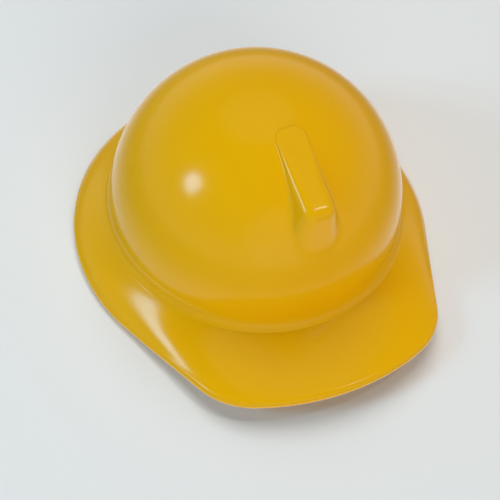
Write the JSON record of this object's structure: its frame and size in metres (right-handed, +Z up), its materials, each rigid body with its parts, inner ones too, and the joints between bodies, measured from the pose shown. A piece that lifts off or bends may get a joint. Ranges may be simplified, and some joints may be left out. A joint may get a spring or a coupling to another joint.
{
  "type": "miniature hard hat",
  "caption": "Miniature hard hat: hollow round crown, all-round sloping brim widening into a squared front peak, and a short raised rib on the front of the crown.",
  "frame": {"origin": "on the surface the hat stands on, under the middle of its outline", "axes": "+Z up along the crown's axis, -Y towards the peak, +X to the wearer's left"},
  "size_m": [0.045, 0.0502, 0.0243],
  "materials": {
    "yellow_abs": "glossy golden-yellow injection-moulded ABS"
  },
  "bodies": {
    "root": {"crown": "yellow_abs", "brim": "yellow_abs", "peak": "yellow_abs", "front_rib": "yellow_abs"}
  },
  "joints": []
}
